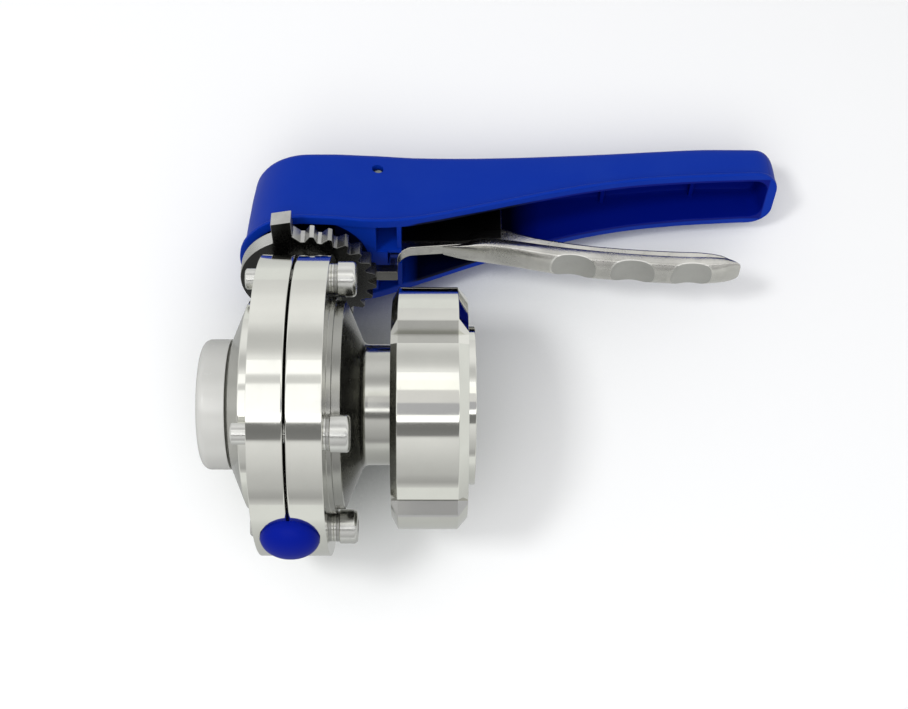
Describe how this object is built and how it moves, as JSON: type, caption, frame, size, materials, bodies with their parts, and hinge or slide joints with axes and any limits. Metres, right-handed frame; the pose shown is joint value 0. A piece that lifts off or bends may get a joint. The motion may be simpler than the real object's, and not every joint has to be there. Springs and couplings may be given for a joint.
{
  "type": "hygienic butterfly valve",
  "caption": "Butterfly valve with a split round body, a notched squeeze handle, a weld end under a cap and a union with a slotted nut.",
  "frame": {"origin": "crossing of the flow axis and the stem axis, in the middle of the disc", "axes": "+X along the flow towards the union nut, +Z along the stem towards the handle; the disc stands open and the handle lies over +X"},
  "size_m": [0.1764, 0.087, 0.142],
  "materials": {
    "polished_steel": "machined and polished stainless steel",
    "fastener_steel": "bright stainless fasteners",
    "plate_steel": "blanked stainless plate",
    "cast_steel": "tumbled investment casting",
    "spring_steel": "drawn spring wire",
    "blue_plastic": "moulded cobalt blue nylon",
    "seal_rubber": "black seal rubber",
    "bearing_plastic": "turned bearing plastic",
    "milky_plastic": "milky translucent polyethylene"
  },
  "bodies": {
    "valve_body": {"body_weld_half": "polished_steel", "body_union_half": "polished_steel", "seat_ring": "seal_rubber", "upper_bush": "bearing_plastic", "lower_bush": "bearing_plastic", "upper_stem_seal": "seal_rubber", "lower_stem_seal": "seal_rubber", "cap_screw_1": "fastener_steel", "cap_screw_2": "fastener_steel", "cap_screw_3": "fastener_steel", "cap_screw_4": "fastener_steel", "flat_washer_1": "fastener_steel", "flat_washer_2": "fastener_steel", "flat_washer_3": "fastener_steel", "flat_washer_4": "fastener_steel", "split_washer_1": "spring_steel", "split_washer_2": "spring_steel", "split_washer_3": "spring_steel", "split_washer_4": "spring_steel", "bottom_plug": "blue_plastic", "index_plate": "plate_steel", "union_liner": "polished_steel"},
    "handle_and_disc": {"handle": "blue_plastic", "stem": "polished_steel", "disc": "polished_steel", "handle_washer": "fastener_steel", "handle_screw": "fastener_steel", "pivot_pin": "fastener_steel", "lever_spring": "spring_steel"},
    "squeeze_lever": {"lever": "cast_steel"},
    "nut": {"union_nut": "polished_steel"},
    "cap": {"end_cap": "milky_plastic"}
  },
  "joints": [
    {"name": "handle_turn", "type": "hinge", "parent": "valve_body", "child": "handle_and_disc", "pos_m": [0, 0, 0], "axis": [0, 0, 1], "range_deg": [-90, 90]},
    {"name": "lever_squeeze", "type": "hinge", "parent": "handle_and_disc", "child": "squeeze_lever", "pos_m": [0.0215, 0, 0.077], "axis": [0, -1, 0], "range_deg": [0, 9], "stiffness_Nm_per_rad": 1.5, "springref_deg": -8.59, "deforming": ["lever_spring"]},
    {"name": "nut_spin", "type": "hinge", "parent": "valve_body", "child": "nut", "pos_m": [0.038, 0, -0.001], "axis": [1, 0, 0], "continuous": true},
    {"name": "cap_pull", "type": "slide", "parent": "valve_body", "child": "cap", "axis": [-1, 0, 0], "range_m": [0, 0.03]}
  ]
}
